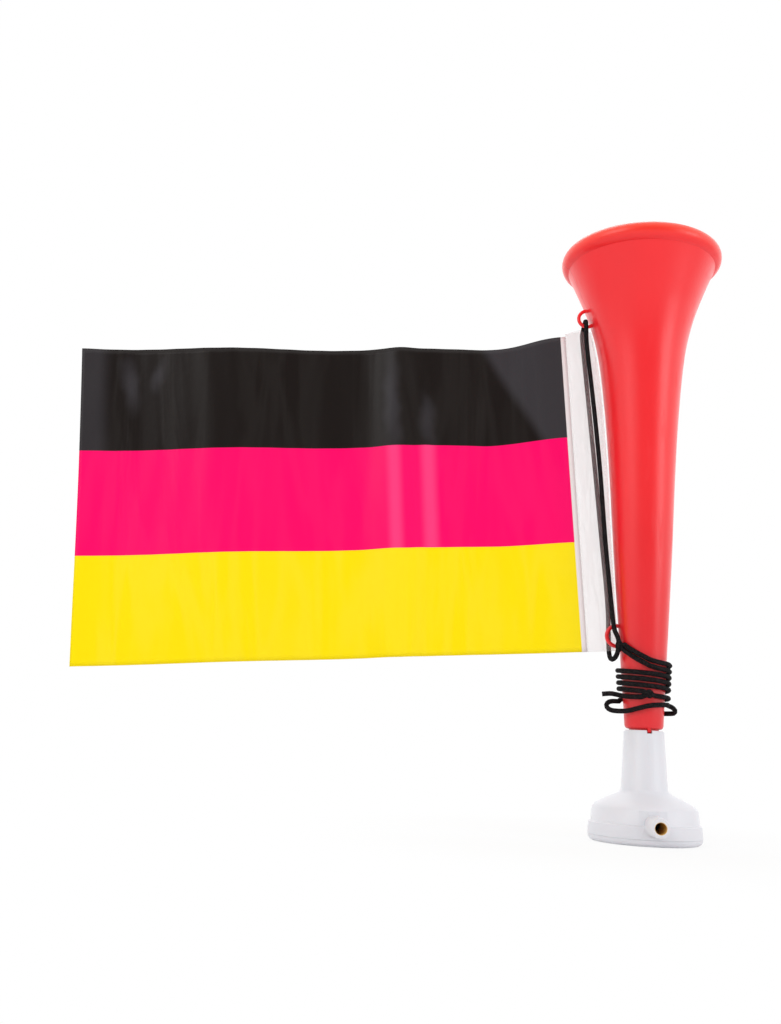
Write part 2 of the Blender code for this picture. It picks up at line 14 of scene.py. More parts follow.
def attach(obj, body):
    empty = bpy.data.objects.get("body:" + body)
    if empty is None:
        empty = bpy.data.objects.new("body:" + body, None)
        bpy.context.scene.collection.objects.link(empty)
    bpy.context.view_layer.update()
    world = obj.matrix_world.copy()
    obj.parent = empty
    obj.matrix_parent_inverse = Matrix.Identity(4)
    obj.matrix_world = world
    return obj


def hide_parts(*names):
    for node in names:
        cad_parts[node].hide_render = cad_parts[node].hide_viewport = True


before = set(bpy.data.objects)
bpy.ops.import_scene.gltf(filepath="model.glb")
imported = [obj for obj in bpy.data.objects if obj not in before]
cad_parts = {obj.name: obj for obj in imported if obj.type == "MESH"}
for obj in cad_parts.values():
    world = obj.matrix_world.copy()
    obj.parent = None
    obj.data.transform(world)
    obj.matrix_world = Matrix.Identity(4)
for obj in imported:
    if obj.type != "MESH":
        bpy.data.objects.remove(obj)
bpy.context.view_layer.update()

bl_info = {
    "name": "Stadium Horn",
    "version": (1, 0, 0),
    "blender": (4, 5, 0),
    "location": "View3D > Sidebar > Stadium Horn",
    "description": "Builds the looks of a stadium horn with its cord and flag",
    "category": "Object",
}

MM = 0.001

# Horn: height and outer radius stations, then the rim's bead
FLARE = ((40.1, 7.0), (67.2, 8.6), (103.0, 10.8), (138.5, 12.6), (165.0, 14.5), (186.6, 17.0),
         (200.8, 20.4), (211.5, 24.3), (222.6, 29.0))
HORN_WALL = 1.3
COLLAR_ROUNDING = 1.2
SPIGOT_R = 5.4
SPIGOT_BORE_R = 4.2
SPIGOT_BOTTOM_Z = 20.0
BEAD = (27.9, 226.2, 3.8)
EYELETS = ((-21.8, 201.3, 3.35, 0.7), (-9.9, 74.0, 3.85, 0.75))

# Flag, as it hangs from the strand inside its sleeve
FLAG_LEAN = math.radians(4.3)
PANEL_CORNER = (-32.0, 194.3)
PANEL_WIDTH = 193.0
PANEL_HEIGHT = 127.0
WELD_MARGIN = 2.0
FLAG_Y = 3.0
SLEEVE_WIDTH = 17.0
SLEEVE_RISE = 1.0
SLEEVE_HALF = 1.4
FLANK_ANGLE = math.radians(17.0)
FLANK_CLEAR = 1.1

# Cord routes, the same points as the solids'. FRONT_ROUTE, the loops and LEFT_TIP are (x, y, z), and
# REAR_STRAND is (x, z). ACROSS, BEHIND and the ends are (degrees from straight ahead, z) on the horn, and
# LEAD_IN is (degrees, height above the level turns).
CORD_R = 0.9
FRONT_Y = -2.1
WIND_CLEAR = 0.3
WIND_PITCH = 4.5
WIND_LEVEL = 90.0
LONG_LEVEL_Z = 63.4
LONG_TURNED = 810.0
LONG_LEFT = (975.0, 50.2)
SHORT_DROP = 2.25
SHORT_TURNED = 703.0
LOOP_POINTS = 48
LEAD_IN = ((-56.5, 7.0), (-40.0, 5.2), (-25.0, 3.7), (-10.0, 2.4), (0.0, 1.6), (15.0, 1.0), (30.0, 0.7),
           (45.0, 0.53), (60.0, 0.35), (75.0, 0.17))
FRONT_ROUTE = (
    (-10.2, -3.4, 72.75), (-10.8, -2.6, 74.6), (-11.5, -2.2, 77.0), (-12.3, FRONT_Y, 84.0),
    (-14.7, FRONT_Y, 109.0), (-16.8, FRONT_Y, 137.0), (-19.3, FRONT_Y, 163.0), (-22.1, FRONT_Y, 188.0),
    (-22.5, FRONT_Y, 196.0), (-22.5, -2.0, 198.1), (-22.5, -1.45, 199.5), (-22.5, 0.0, 200.15),
    (-22.5, 1.5, 199.6), (-22.6, 3.2, 198.5), (-22.7, 4.5, 197.2),
)
REAR_STRAND = (
    (-22.8, 196.0), (-22.6, 191.4), (-20.6, 170.0), (-17.9, 142.0), (-15.2, 113.0), (-12.9, 88.0),
    (-12.5, 77.0), (-12.4, 70.0),
)
LOOP_ROUTE = ((-12.2, 2.3, 66.6), (-11.8, 0.9, 65.3), (-11.2, -0.9, 65.5), (-10.6, -2.7, 66.8))
LEFT_LOOP = (
    (-8.9, 1.5, 49.9), (-11.5, 0.6, 49.8), (-13.4, -0.4, 49.2), (-14.1, -1.0, 47.9), (-13.2, -1.6, 46.7),
    (-11.1, -2.4, 46.2),
)
ACROSS = ((-60.0, 46.3), (-30.0, 47.2), (0.0, 48.4), (30.0, 48.9), (60.0, 49.1), (80.0, 49.0))
RIGHT_LOOP = ((10.3, -1.2, 48.4), (11.4, -0.8, 47.4), (11.3, 0.3, 46.4), (9.6, 1.6, 46.2))
BEHIND = ((122.0, 46.2), (150.0, 46.4))
LEFT_END = ((-19.0, 51.4), (-40.0, 51.4), (-62.0, 51.6), (-80.0, 51.9))
LEFT_TIP = ((-10.9, -1.2, 52.3), (-12.7, -1.0, 52.5), (-15.6, -0.4, 52.2))
RIGHT_END = ((13.5, 52.0), (40.0, 51.8), (65.0, 51.6), (90.0, 51.4), (125.0, 51.2))
KNOTS = (
    ("eyelet_knot", "knot_eyelet", (-9.95, -3.8, 70.0), (1.4, 1.9, 2.35), 21.0),
    ("front_knot", "knot_front", (-0.3, -9.45, 52.6), (1.7, 1.3, 1.65), 0.0),
)

# Painted sheens: pale patches painted where the black print catches the light: across, down and half
# sizes in mm, tilt in degrees, weight
BLACK_PAINTED_SHEENS = ((176.0, 15.0, 4.5, 14.0, 8.0, 0.42), (164.0, 11.0, 3.5, 9.0, -12.0, 0.34),
                (71.0, 24.0, 4.5, 26.0, 0.0, 0.42), (57.0, 32.0, 4.0, 14.0, 3.0, 0.36))
# Painted highlights: lighter bands down the magenta print where its folds catch the light: across and half
# width, in mm
MAGENTA_PAINTED_HIGHLIGHTS = ((71.0, 4.2), (57.5, 4.6))

NOZZLE_Z = 7.1
NOZZLE_TURN = math.radians(-4.0)

CAMERA_PLACE = Vector((-97.43, -386.73, 32.31)) * MM
CAMERA_RISE = math.radians(12.461)
CAMERA_ROLL = math.radians(2.7035)
CAMERA_LENS = 36.04


class StageSettings(bpy.types.PropertyGroup):
    """Floor and studio light."""
    floor_colour: FloatVectorProperty(name="Floor Colour", description="Colour of the floor", size=3,
                                      subtype="COLOR", default=(0.9, 0.9, 0.9), min=0.0, max=1.0)
    key_power: FloatProperty(name="Key Power", description="Power of the soft lamp at the left", default=2.6,
                             min=0.0, unit="POWER")
    fill_power: FloatProperty(name="Fill Power", description="Power of the soft lamp at the right",
                              default=1.8, min=0.0, unit="POWER")
    sky: FloatProperty(name="Sky", description="Strength of the plain light from all round", default=0.74,
                       min=0.0)
    front_glow: FloatProperty(name="Front Glow", description="What glossy pieces mirror from in front",
                              default=0.12, min=0.0)
    side_glow: FloatProperty(name="Side Glow", description="What glossy pieces mirror from the sides",
                             default=1.5, min=0.0)


class HornSettings(bpy.types.PropertyGroup):
    """Red horn."""
    colour: FloatVectorProperty(name="Colour", description="Colour of the red plastic", size=3,
                                subtype="COLOR", default=(0.92, 0.014, 0.020), min=0.0, max=1.0)
    roughness: FloatProperty(name="Roughness", description="Roughness of the red plastic", default=0.32,
                             min=0.0, max=1.0, subtype="FACTOR")


class ChamberSettings(bpy.types.PropertyGroup):
    """White reed chamber."""
    colour: FloatVectorProperty(name="Colour", description="Colour of the white plastic", size=3,
                                subtype="COLOR", default=(0.755, 0.755, 0.80), min=0.0, max=1.0)
    roughness: FloatProperty(name="Roughness", description="Roughness of the white plastic", default=0.42,
                             min=0.0, max=1.0, subtype="FACTOR")


class FlagSettings(bpy.types.PropertyGroup):
    """Printed flag and its clear sleeve."""
    top_colour: FloatVectorProperty(name="Top Stripe", description="Colour of the upper stripe", size=3,
                                    subtype="COLOR", default=(0.013, 0.0095, 0.0085), min=0.0, max=1.0)
    middle_colour: FloatVectorProperty(name="Middle Stripe", description="Colour of the middle stripe",
                                       size=3, subtype="COLOR", default=(1.0, 0.0, 0.14), min=0.0, max=1.0)
    bottom_colour: FloatVectorProperty(name="Bottom Stripe", description="Colour of the lower stripe",
                                       size=3, subtype="COLOR", default=(1.0, 0.78, 0.0), min=0.0, max=1.0)
    sleeve_colour: FloatVectorProperty(name="Sleeve", description="Colour of the clear film", size=3,
                                       subtype="COLOR", default=(0.90, 0.80, 0.81), min=0.0, max=1.0)
    film: FloatProperty(name="Film Thickness", description="Thickness that the film is drawn with",
                        default=0.15 * MM, min=0.00002, max=0.001, unit="LENGTH", precision=5)


class CordSettings(bpy.types.PropertyGroup):
    """Black cord."""
    colour: FloatVectorProperty(name="Colour", description="Colour of the cord", size=3, subtype="COLOR",
                                default=(0.007, 0.006, 0.007), min=0.0, max=1.0)
    diameter: FloatProperty(name="Diameter", description="Diameter of the cord", default=2 * CORD_R * MM,
                            min=0.0005, max=0.003, unit="LENGTH", precision=4)


def catmull(points, per_span):
    """Points of a smooth curve through every given point."""
    points = [Vector(p) for p in points]
    ends = [2 * points[0] - points[1]] + points + [2 * points[-1] - points[-2]]
    out = []
    for i in range(1, len(ends) - 2):
        before, a, b, after = ends[i - 1:i + 3]
        for k in range(per_span):
            t = k / per_span
            out.append(0.5 * ((2 * a) + (b - before) * t + (2 * before - 5 * a + 4 * b - after) * t ** 2
                              + (3 * a - 3 * b + after - before) * t ** 3))
    out.append(points[-1])
    return out


def evenly(points, spacing):
    """The same path with its points a steady distance apart."""
    lengths = [0.0]
    for a, b in zip(points, points[1:]):
        lengths.append(lengths[-1] + (b - a).length)
    count = max(2, round(lengths[-1] / spacing))
    out = []
    i = 0
    for k in range(count + 1):
        target = lengths[-1] * k / count
        while i < len(points) - 2 and lengths[i + 1] < target:
            i += 1
        share = (target - lengths[i]) / max(1e-9, lengths[i + 1] - lengths[i])
        out.append(points[i].lerp(points[i + 1], share))
    return out


FLARE_CURVE = [(p.x, p.y) for p in catmull([(z, r, 0.0) for z, r in FLARE], 12)]


def flare_radius(z):
    """The horn's outer radius at a height."""
    for (z0, r0), (z1, r1) in zip(FLARE_CURVE, FLARE_CURVE[1:]):
        if z <= z1:
            return r0 + (r1 - r0) * (z - z0) / (z1 - z0)
    return FLARE_CURVE[-1][1]


def hoist_point(across, down, y):
    """A point of the flag: across from the weld towards the horn, down from the print's upper edge."""
    x0 = PANEL_CORNER[0] + WELD_MARGIN * math.cos(FLAG_LEAN)
    z0 = PANEL_CORNER[1] + WELD_MARGIN * math.sin(FLAG_LEAN)
    return Vector((x0 + across * math.cos(FLAG_LEAN) + down * math.sin(FLAG_LEAN), y,
                   z0 + across * math.sin(FLAG_LEAN) - down * math.cos(FLAG_LEAN)))


def sleeve_line(down):
    """The sleeve's middle at one level: its weld, and where it first lies against the horn's flank."""
    weld = hoist_point(0.0, down, FLAG_Y)
    shell_r = flare_radius(weld.z) + FLANK_CLEAR
    return weld, Vector((-shell_r * math.cos(FLANK_ANGLE), shell_r * math.sin(FLANK_ANGLE), weld.z))


def rear_strand(x, z):
    """A point of the strand inside the sleeve, on the sleeve's middle at its height."""
    weld, touch = sleeve_line((PANEL_CORNER[1] - z) / math.cos(FLAG_LEAN))
    return Vector((x, weld.y + (touch.y - weld.y) * (x - weld.x) / (touch.x - weld.x), z))


def cord_x(z):
    """Where the rear strand runs at a height."""
    points = sorted((z0, x0) for x0, z0 in REAR_STRAND)
    for (z0, x0), (z1, x1) in zip(points, points[1:]):
        if z <= z1:
            return x0 + (x1 - x0) * (z - z0) / (z1 - z0)
    return points[-1][1]


def on_horn(degrees, z):
    """A point of a cord that lies on the horn, by its angle from straight ahead and its height."""
    r = flare_radius(z) + WIND_CLEAR + CORD_R
    a = math.radians(degrees)
    return Vector((r * math.sin(a), -r * math.cos(a), z))


def wound(level_z, stop):
    """A strand from the eyelet's knot: a steep lead-in across the front, then level turns."""
    path = [on_horn(degrees, level_z + above) for degrees, above in LEAD_IN]
    step = 360.0 / LOOP_POINTS
    count = round((stop - WIND_LEVEL) / step)
    for k in range(count + 1):
        degrees = WIND_LEVEL + (stop - WIND_LEVEL) * k / count
        path.append(on_horn(degrees, level_z - WIND_PITCH * (degrees - WIND_LEVEL) / 360.0))
    return path


def long_strand():
    """The strand that goes on below the turns: a loop out at the left, across, and one out at the right."""
    path = wound(LONG_LEVEL_Z, LONG_TURNED)
    start_z = path[-1].z
    count = 22
    for k in range(1, count + 1):
        share = k / count
        path.append(on_horn(LONG_TURNED + (LONG_LEFT[0] - LONG_TURNED) * share,
                            start_z + (LONG_LEFT[1] - start_z) * share ** 1.2))
    across = [on_horn(*p) for p in ACROSS]
    behind = [on_horn(*p) for p in BEHIND]
    loops = [path[-1], *LEFT_LOOP, *across, *RIGHT_LOOP, *behind]
    return path + evenly(catmull(loops, 12), 0.9)[1:]


def add_object(name, data, finish=None):
    obj = bpy.data.objects.new(name, data)
    bpy.context.scene.collection.objects.link(obj)
    if finish is not None:
        data.materials.append(finish)
    return obj


def mesh_object(name, bm, finish, angle=40.0):
    """Turns a bmesh in metres into a smooth-shaded object with its place in its mesh."""
    mesh = bpy.data.meshes.new(name)
    bmesh.ops.recalc_face_normals(bm, faces=bm.faces)
    bm.to_mesh(mesh)
    bm.free()
    mesh.shade_smooth()
    mesh.set_sharp_from_angle(angle=math.radians(angle))
    return add_object(name, mesh, finish)


def revolve(bm, profile, steps):
    """Sweeps a closed profile of (r, z) in millimetres about the Z axis."""
    rings = []
    for k in range(steps):
        c, s = math.cos(2 * math.pi * k / steps), math.sin(2 * math.pi * k / steps)
        rings.append([bm.verts.new((r * c * MM, r * s * MM, z * MM)) for r, z in profile])
    for k in range(steps):
        a, b = rings[k], rings[(k + 1) % steps]
        for i in range(len(profile)):
            j = (i + 1) % len(profile)
            bm.faces.new((a[i], a[j], b[j], b[i]))


def torus(bm, centre, ring_r, wire_r, turn, steps=48, sides=16, stretch=(1.0, 1.0, 1.0)):
    """A ring of round wire, turned and stretched, in millimetres."""
    rings = []
    place = Matrix.Translation(Vector(centre)) @ Matrix.Diagonal((*stretch, 1.0)) @ turn.to_4x4()
    for k in range(steps):
        a = 2 * math.pi * k / steps
        ring = []
        for i in range(sides):
            b = 2 * math.pi * i / sides
            r = ring_r + wire_r * math.cos(b)
            point = Vector((r * math.cos(a), r * math.sin(a), wire_r * math.sin(b)))
            ring.append(bm.verts.new(place @ point * MM))
        rings.append(ring)
    for k in range(steps):
        a, b = rings[k], rings[(k + 1) % steps]
        for i in range(sides):
            j = (i + 1) % sides
            bm.faces.new((a[i], a[j], b[j], b[i]))


def film_mesh(name, grid, finish, thickness):
    """A film from rows of (point in mm, across, down), with those two in metres as its UV map."""
    bm = bmesh.new()
    layer = bm.loops.layers.uv.new("film")
    verts = [[(bm.verts.new(p * MM), (u * MM, v * MM)) for p, u, v in row] for row in grid]
    for upper, lower in zip(verts, verts[1:]):
        for k in range(len(upper) - 1):
            corners = (upper[k], upper[k + 1], lower[k + 1], lower[k])
            face = bm.faces.new([vert for vert, _ in corners])
            for loop, (_, uv) in zip(face.loops, corners):
                loop[layer].uv = uv
    mesh = bpy.data.meshes.new(name)
    bm.to_mesh(mesh)
    bm.free()
    mesh.shade_smooth()
    obj = add_object(name, mesh, finish)
    solid = obj.modifiers.new("film", "SOLIDIFY")
    solid.thickness = thickness
    solid.offset = 0.0
    return obj


def skin_of(node, name, finish):
    """A smooth-shaded copy of a hard node, in its place."""
    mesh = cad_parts[node].data.copy()
    mesh.name = name
    bm = bmesh.new()
    bm.from_mesh(mesh)
    bmesh.ops.remove_doubles(bm, verts=bm.verts, dist=0.000002)
    bmesh.ops.dissolve_limit(bm, angle_limit=math.radians(0.5), verts=bm.verts, edges=bm.edges)
    bm.to_mesh(mesh)
    bm.free()
    mesh.materials.clear()
    mesh.shade_smooth()
    mesh.set_sharp_from_angle(angle=math.radians(32.0))
    return add_object(name, mesh, finish)


def add(tree, kind, inputs=None, **settings):
    """A new node with its settings, and its inputs given as values or as sockets to link."""
    made = tree.nodes.new(kind)
    for key, value in settings.items():
        setattr(made, key, value)
    for key, value in (inputs or {}).items():
        if isinstance(value, bpy.types.NodeSocket):
            tree.links.new(value, made.inputs[key])
        else:
            made.inputs[key].default_value = value
    return made


def sums(tree, operation, *values):
    """A Math node's result."""
    return add(tree, "ShaderNodeMath", dict(enumerate(values)), operation=operation).outputs[0]


def mixed(tree, factor, a, b):
    """A colour between two, by a factor."""
    node = tree.nodes.new("ShaderNodeMix")
    node.data_type = "RGBA"
    for socket, value in ((node.inputs[0], factor), (node.inputs[6], a), (node.inputs[7], b)):
        if isinstance(value, bpy.types.NodeSocket):
            tree.links.new(value, socket)
        else:
            socket.default_value = value
    return node.outputs[2]


def ramped(tree, value, low, high, to_low=0.0, to_high=1.0):
    """A value eased from one range into another."""
    node = add(tree, "ShaderNodeMapRange", {"Value": value, "From Min": low, "From Max": high,
                                            "To Min": to_low, "To Max": to_high},
               interpolation_type="SMOOTHSTEP")
    return node.outputs[0]


def new_group(name, inputs, outputs):
    """A shader group with its named sockets, and its inside ends."""
    tree = bpy.data.node_groups.new(name, "ShaderNodeTree")
    for label, kind, value in inputs:
        socket = tree.interface.new_socket(label, in_out="INPUT", socket_type=kind)
        socket.default_value = value
    for label, kind in outputs:
        tree.interface.new_socket(label, in_out="OUTPUT", socket_type=kind)
    return tree, tree.nodes.new("NodeGroupInput"), tree.nodes.new("NodeGroupOutput")


def moulded_skin():
    """Moulded plastic: soft colour clouds, uneven gloss and a very fine orange peel."""
    made = bpy.data.node_groups.get("moulded skin")
    if made:
        return made
    tree, start, end = new_group(
        "moulded skin",
        (("Colour", "NodeSocketColor", (0.8, 0.8, 0.8, 1.0)), ("Clouds", "NodeSocketFloat", 0.1),
         ("Roughness", "NodeSocketFloat", 0.35), ("Scuffs", "NodeSocketFloat", 0.1)),
        (("Colour", "NodeSocketColor"), ("Roughness", "NodeSocketFloat"), ("Height", "NodeSocketFloat")))
    place = tree.nodes.new("ShaderNodeTexCoord").outputs["Object"]
    clouds = add(tree, "ShaderNodeTexNoise", {"Vector": place, "Scale": 38.0, "Detail": 3.0}).outputs["Fac"]
    peel = add(tree, "ShaderNodeTexNoise", {"Vector": place, "Scale": 900.0, "Detail": 2.0}).outputs["Fac"]
    long_way = add(tree, "ShaderNodeMapping", {"Vector": place, "Scale": (1.0, 1.0, 0.12)}).outputs[0]
    scratch = add(tree, "ShaderNodeTexNoise", {"Vector": long_way, "Scale": 420.0, "Detail": 4.0})
    scuff = ramped(tree, scratch.outputs["Fac"], 0.56, 0.72)
    shade = sums(tree, "MULTIPLY", sums(tree, "SUBTRACT", clouds, 0.5), start.outputs["Clouds"])
    tone = add(tree, "ShaderNodeHueSaturation",
               {"Color": start.outputs["Colour"], "Value": sums(tree, "ADD", shade, 1.0)}).outputs[0]
    worn = sums(tree, "MULTIPLY", scuff, start.outputs["Scuffs"])
    rough = sums(tree, "ADD", start.outputs["Roughness"], worn)
    rough = sums(tree, "ADD", rough, sums(tree, "MULTIPLY", sums(tree, "SUBTRACT", clouds, 0.5), 0.12))
    height = sums(tree, "ADD", peel, sums(tree, "MULTIPLY", clouds, 2.0))
    for label, value in (("Colour", tone), ("Roughness", rough), ("Height", height)):
        tree.links.new(value, end.inputs[label])
    return tree


def film_creases():
    """Thin film: upright soft creases and a fine crinkle, from its UV map in metres."""
    made = bpy.data.node_groups.get("film creases")
    if made:
        return made
    tree, start, end = new_group("film creases", (("Size", "NodeSocketFloat", 1.0),),
                                 (("Height", "NodeSocketFloat"), ("Crest", "NodeSocketFloat")))
    place = tree.nodes.new("ShaderNodeTexCoord").outputs["UV"]
    upright = add(tree, "ShaderNodeMapping", {"Vector": place, "Scale": (60.0, 9.0, 1.0)}).outputs[0]
    wide = add(tree, "ShaderNodeTexNoise", {"Vector": upright, "Scale": start.outputs["Size"], "Detail": 3.0,
                                            "Distortion": 0.6}).outputs["Fac"]
    fine = add(tree, "ShaderNodeTexNoise", {"Vector": place, "Scale": 260.0, "Detail": 3.0}).outputs["Fac"]
    crest = ramped(tree, sums(tree, "ABSOLUTE", sums(tree, "SUBTRACT", wide, 0.5)), 0.0, 0.12, 1.0, 0.0)
    height = sums(tree, "ADD", sums(tree, "MULTIPLY", wide, 3.0), sums(tree, "MULTIPLY", fine, 0.25))
    tree.links.new(sums(tree, "ADD", height, sums(tree, "MULTIPLY", crest, 0.35)), end.inputs["Height"])
    tree.links.new(crest, end.inputs["Crest"])
    return tree


def new_material(name):
    made = bpy.data.materials.new(name)
    made.use_nodes = True
    tree = made.node_tree
    return made, tree, tree.nodes["Principled BSDF"]


def bumped(tree, shader, height, strength, distance):
    bump = add(tree, "ShaderNodeBump", {"Height": height, "Strength": strength, "Distance": distance})
    tree.links.new(bump.outputs[0], shader.inputs["Normal"])


def plastic(name, colour, roughness, clouds=0.1, scuffs=0.1, marks=None):
    """Moulded plastic, with a piece's own marks and painted light laid over its colour and height where it
    has some.
    """
    made, tree, shader = new_material(name)
    skin = add(tree, "ShaderNodeGroup", {}, node_tree=moulded_skin())
    skin.inputs["Colour"].default_value = (*colour, 1.0)
    skin.inputs["Roughness"].default_value = roughness
    skin.inputs["Clouds"].default_value = clouds
    skin.inputs["Scuffs"].default_value = scuffs
    height = skin.outputs["Height"]
    tone = skin.outputs["Colour"]
    if marks:
        tone, height = marks(tree, tone, height)
    tree.links.new(tone, shader.inputs["Base Color"])
    tree.links.new(skin.outputs["Roughness"], shader.inputs["Roughness"])
    shader.inputs["Subsurface Weight"].default_value = 0.08
    shader.inputs["Subsurface Radius"].default_value = (0.004, 0.002, 0.002)
    shader.inputs["Subsurface Scale"].default_value = 0.3
    bumped(tree, shader, height, 0.08, 0.0004)
    return made


def horn_marks_and_painted_light(tree, tone, height):
    """Parting line down the left flank, painted shade low down and a painted glow of light in the rim."""
    place = tree.nodes.new("ShaderNodeTexCoord").outputs["Object"]
    axes = add(tree, "ShaderNodeSeparateXYZ", {"Vector": place})
    line = ramped(tree, sums(tree, "ABSOLUTE", axes.outputs["Y"]), 0.00012, 0.0004, 1.0, 0.0)
    line = sums(tree, "MULTIPLY", line, sums(tree, "LESS_THAN", axes.outputs["X"], 0.0))
    tone = mixed(tree, sums(tree, "MULTIPLY", line, 0.35), tone, (0.45, 0.0, 0.01, 1.0))
    # Painted shade: the red deepens towards the bottom of the horn.
    low = ramped(tree, axes.outputs["Z"], 0.05, 0.15, 0.45, 0.0)
    tone = mixed(tree, low, tone, (0.58, 0.012, 0.018, 1.0))
    # Painted glow: a warmer red round the rim, for light shining through the plastic.
    painted_rim_glow = ramped(tree, axes.outputs["Z"], 0.2225, 0.229, 0.0, 0.75)
    tone = mixed(tree, painted_rim_glow, tone, (1.0, 0.055, 0.006, 1.0))
    return tone, sums(tree, "ADD", height, sums(tree, "MULTIPLY", line, 4.0))


def chamber_bore_painted_light(tree, tone, height):
    """A tan tint painted in the blow nozzle's bore, as its shade and the warm light through the white
    plastic.
    """
    place = tree.nodes.new("ShaderNodeTexCoord").outputs["Object"]
    turned = add(tree, "ShaderNodeMapping", {"Vector": place, "Location": (0.0, 0.0, NOZZLE_Z * MM),
                                             "Rotation": (0.0, 0.0, NOZZLE_TURN)},
                 vector_type="TEXTURE").outputs[0]
    axes = add(tree, "ShaderNodeSeparateXYZ", {"Vector": turned})
    flat = add(tree, "ShaderNodeCombineXYZ", {"X": axes.outputs["X"], "Z": axes.outputs["Z"]}).outputs[0]
    off = add(tree, "ShaderNodeVectorMath", {0: flat}, operation="LENGTH").outputs["Value"]
    # Painted light: tan inside the nozzle's bore, beyond 12 mm out from the chamber's axis.
    inside = ramped(tree, off, 0.00205, 0.00215, 1.0, 0.0)
    inside = sums(tree, "MULTIPLY", inside, sums(tree, "LESS_THAN", axes.outputs["Y"], -0.012))
    return mixed(tree, inside, tone, (0.80, 0.52, 0.16, 1.0)), height


def cord_finish(settings):
    """Black braided cord: crossed strands in its height, with a dull sheen."""
    made, tree, shader = new_material("cord")
    place = tree.nodes.new("ShaderNodeTexCoord").outputs["Object"]
    strands = add(tree, "ShaderNodeTexVoronoi", {"Vector": place, "Scale": 1700.0}).outputs["Distance"]
    fuzz = add(tree, "ShaderNodeTexNoise", {"Vector": place, "Scale": 2600.0, "Detail": 2.0}).outputs["Fac"]
    pale = (0.022, 0.019, 0.020, 1.0)
    tone = mixed(tree, ramped(tree, sums(tree, "ADD", strands, sums(tree, "MULTIPLY", fuzz, 0.4)), 0.5, 1.0),
                 (*settings.colour, 1.0), pale)
    tree.links.new(tone, shader.inputs["Base Color"])
    shader.inputs["Roughness"].default_value = 0.8
    shader.inputs["Specular IOR Level"].default_value = 0.05
    bumped(tree, shader, sums(tree, "SUBTRACT", fuzz, strands), 0.5, 0.0003)
    return made


def flag_finish(settings):
    """Printed film: three stripes in thirds, a clear margin at the weld, and painted sheens and highlights.
    """
    made, tree, shader = new_material("flag print")
    place = tree.nodes.new("ShaderNodeTexCoord").outputs["UV"]
    axes = add(tree, "ShaderNodeSeparateXYZ", {"Vector": place})
    across, down = axes.outputs["X"], axes.outputs["Y"]
    creases = add(tree, "ShaderNodeGroup", {}, node_tree=film_creases())
    creases.inputs["Size"].default_value = 1.0
    third = PANEL_HEIGHT * MM / 3
    black = (*settings.top_colour, 1.0)
    crest = creases.outputs["Crest"]
    tone = mixed(tree, sums(tree, "MULTIPLY", crest, 0.06), black, (0.10, 0.095, 0.09, 1.0))
    # Colour of the painted sheens: pale patches standing in for light on the black print.
    sheen = (0.075, 0.070, 0.080, 1.0)
    blur = add(tree, "ShaderNodeTexNoise", {"Vector": place, "Scale": 70.0, "Detail": 2.0}).outputs["Color"]
    drift = add(tree, "ShaderNodeVectorMath", {0: blur, 1: (0.006, 0.010, 0.0)},
                operation="MULTIPLY").outputs["Vector"]
    loose = add(tree, "ShaderNodeVectorMath", {0: place, 1: drift}, operation="ADD").outputs["Vector"]
    for u, v, half_u, half_v, tilt, weight in BLACK_PAINTED_SHEENS:
        centre = ((u + 3.0) * MM, (v + 5.0) * MM, 0.0)
        turned = add(tree, "ShaderNodeMapping", {"Vector": loose, "Location": centre,
                                                 "Rotation": (0.0, 0.0, math.radians(tilt)),
                                                 "Scale": (half_u * MM, half_v * MM, 1.0)},
                     vector_type="TEXTURE").outputs[0]
        far = add(tree, "ShaderNodeVectorMath", {0: turned}, operation="LENGTH").outputs["Value"]
        tone = mixed(tree, ramped(tree, far, 0.1, 1.2, weight, 0.0), tone, sheen)
    # Two more painted sheens on the black: a slanting band near the weld and a strip near the fly.
    slant = sums(tree, "ADD", across, sums(tree, "MULTIPLY", down, 0.52))
    tone = mixed(tree, ramped(tree, slant, 0.0305, 0.0365, 0.50, 0.0), tone, sheen)
    tone = mixed(tree, ramped(tree, across, 0.182, 0.189, 0.0, 0.34), tone, sheen)
    edge = 0.00012
    middle = mixed(tree, sums(tree, "MULTIPLY", crest, 0.03), (*settings.middle_colour, 1.0),
                   (1.0, 0.12, 0.30, 1.0))
    # Painted highlights: lighter bands down the magenta stripe.
    for u, half in MAGENTA_PAINTED_HIGHLIGHTS:
        off = sums(tree, "ABSOLUTE", sums(tree, "SUBTRACT", across, u * MM))
        middle = mixed(tree, ramped(tree, off, 0.1 * half * MM, half * MM, 0.30, 0.0), middle,
                       (1.0, 0.16, 0.40, 1.0))
    bottom = mixed(tree, sums(tree, "MULTIPLY", crest, 0.03), (*settings.bottom_colour, 1.0),
                   (1.0, 0.93, 0.35, 1.0))
    tone = mixed(tree, ramped(tree, down, third - edge, third + edge), tone, middle)
    tone = mixed(tree, ramped(tree, down, 2 * third - edge, 2 * third + edge), tone, bottom)
    margin = WELD_MARGIN * MM
    tone = mixed(tree, ramped(tree, across, margin - edge, margin + edge, 1.0, 0.0), tone,
                 (0.86, 0.80, 0.80, 1.0))
    tree.links.new(tone, shader.inputs["Base Color"])
    shader.inputs["Roughness"].default_value = 0.3
    shader.inputs["Specular IOR Level"].default_value = 0.11
    bumped(tree, shader, creases.outputs["Height"], 0.25, 0.0006)
    return made


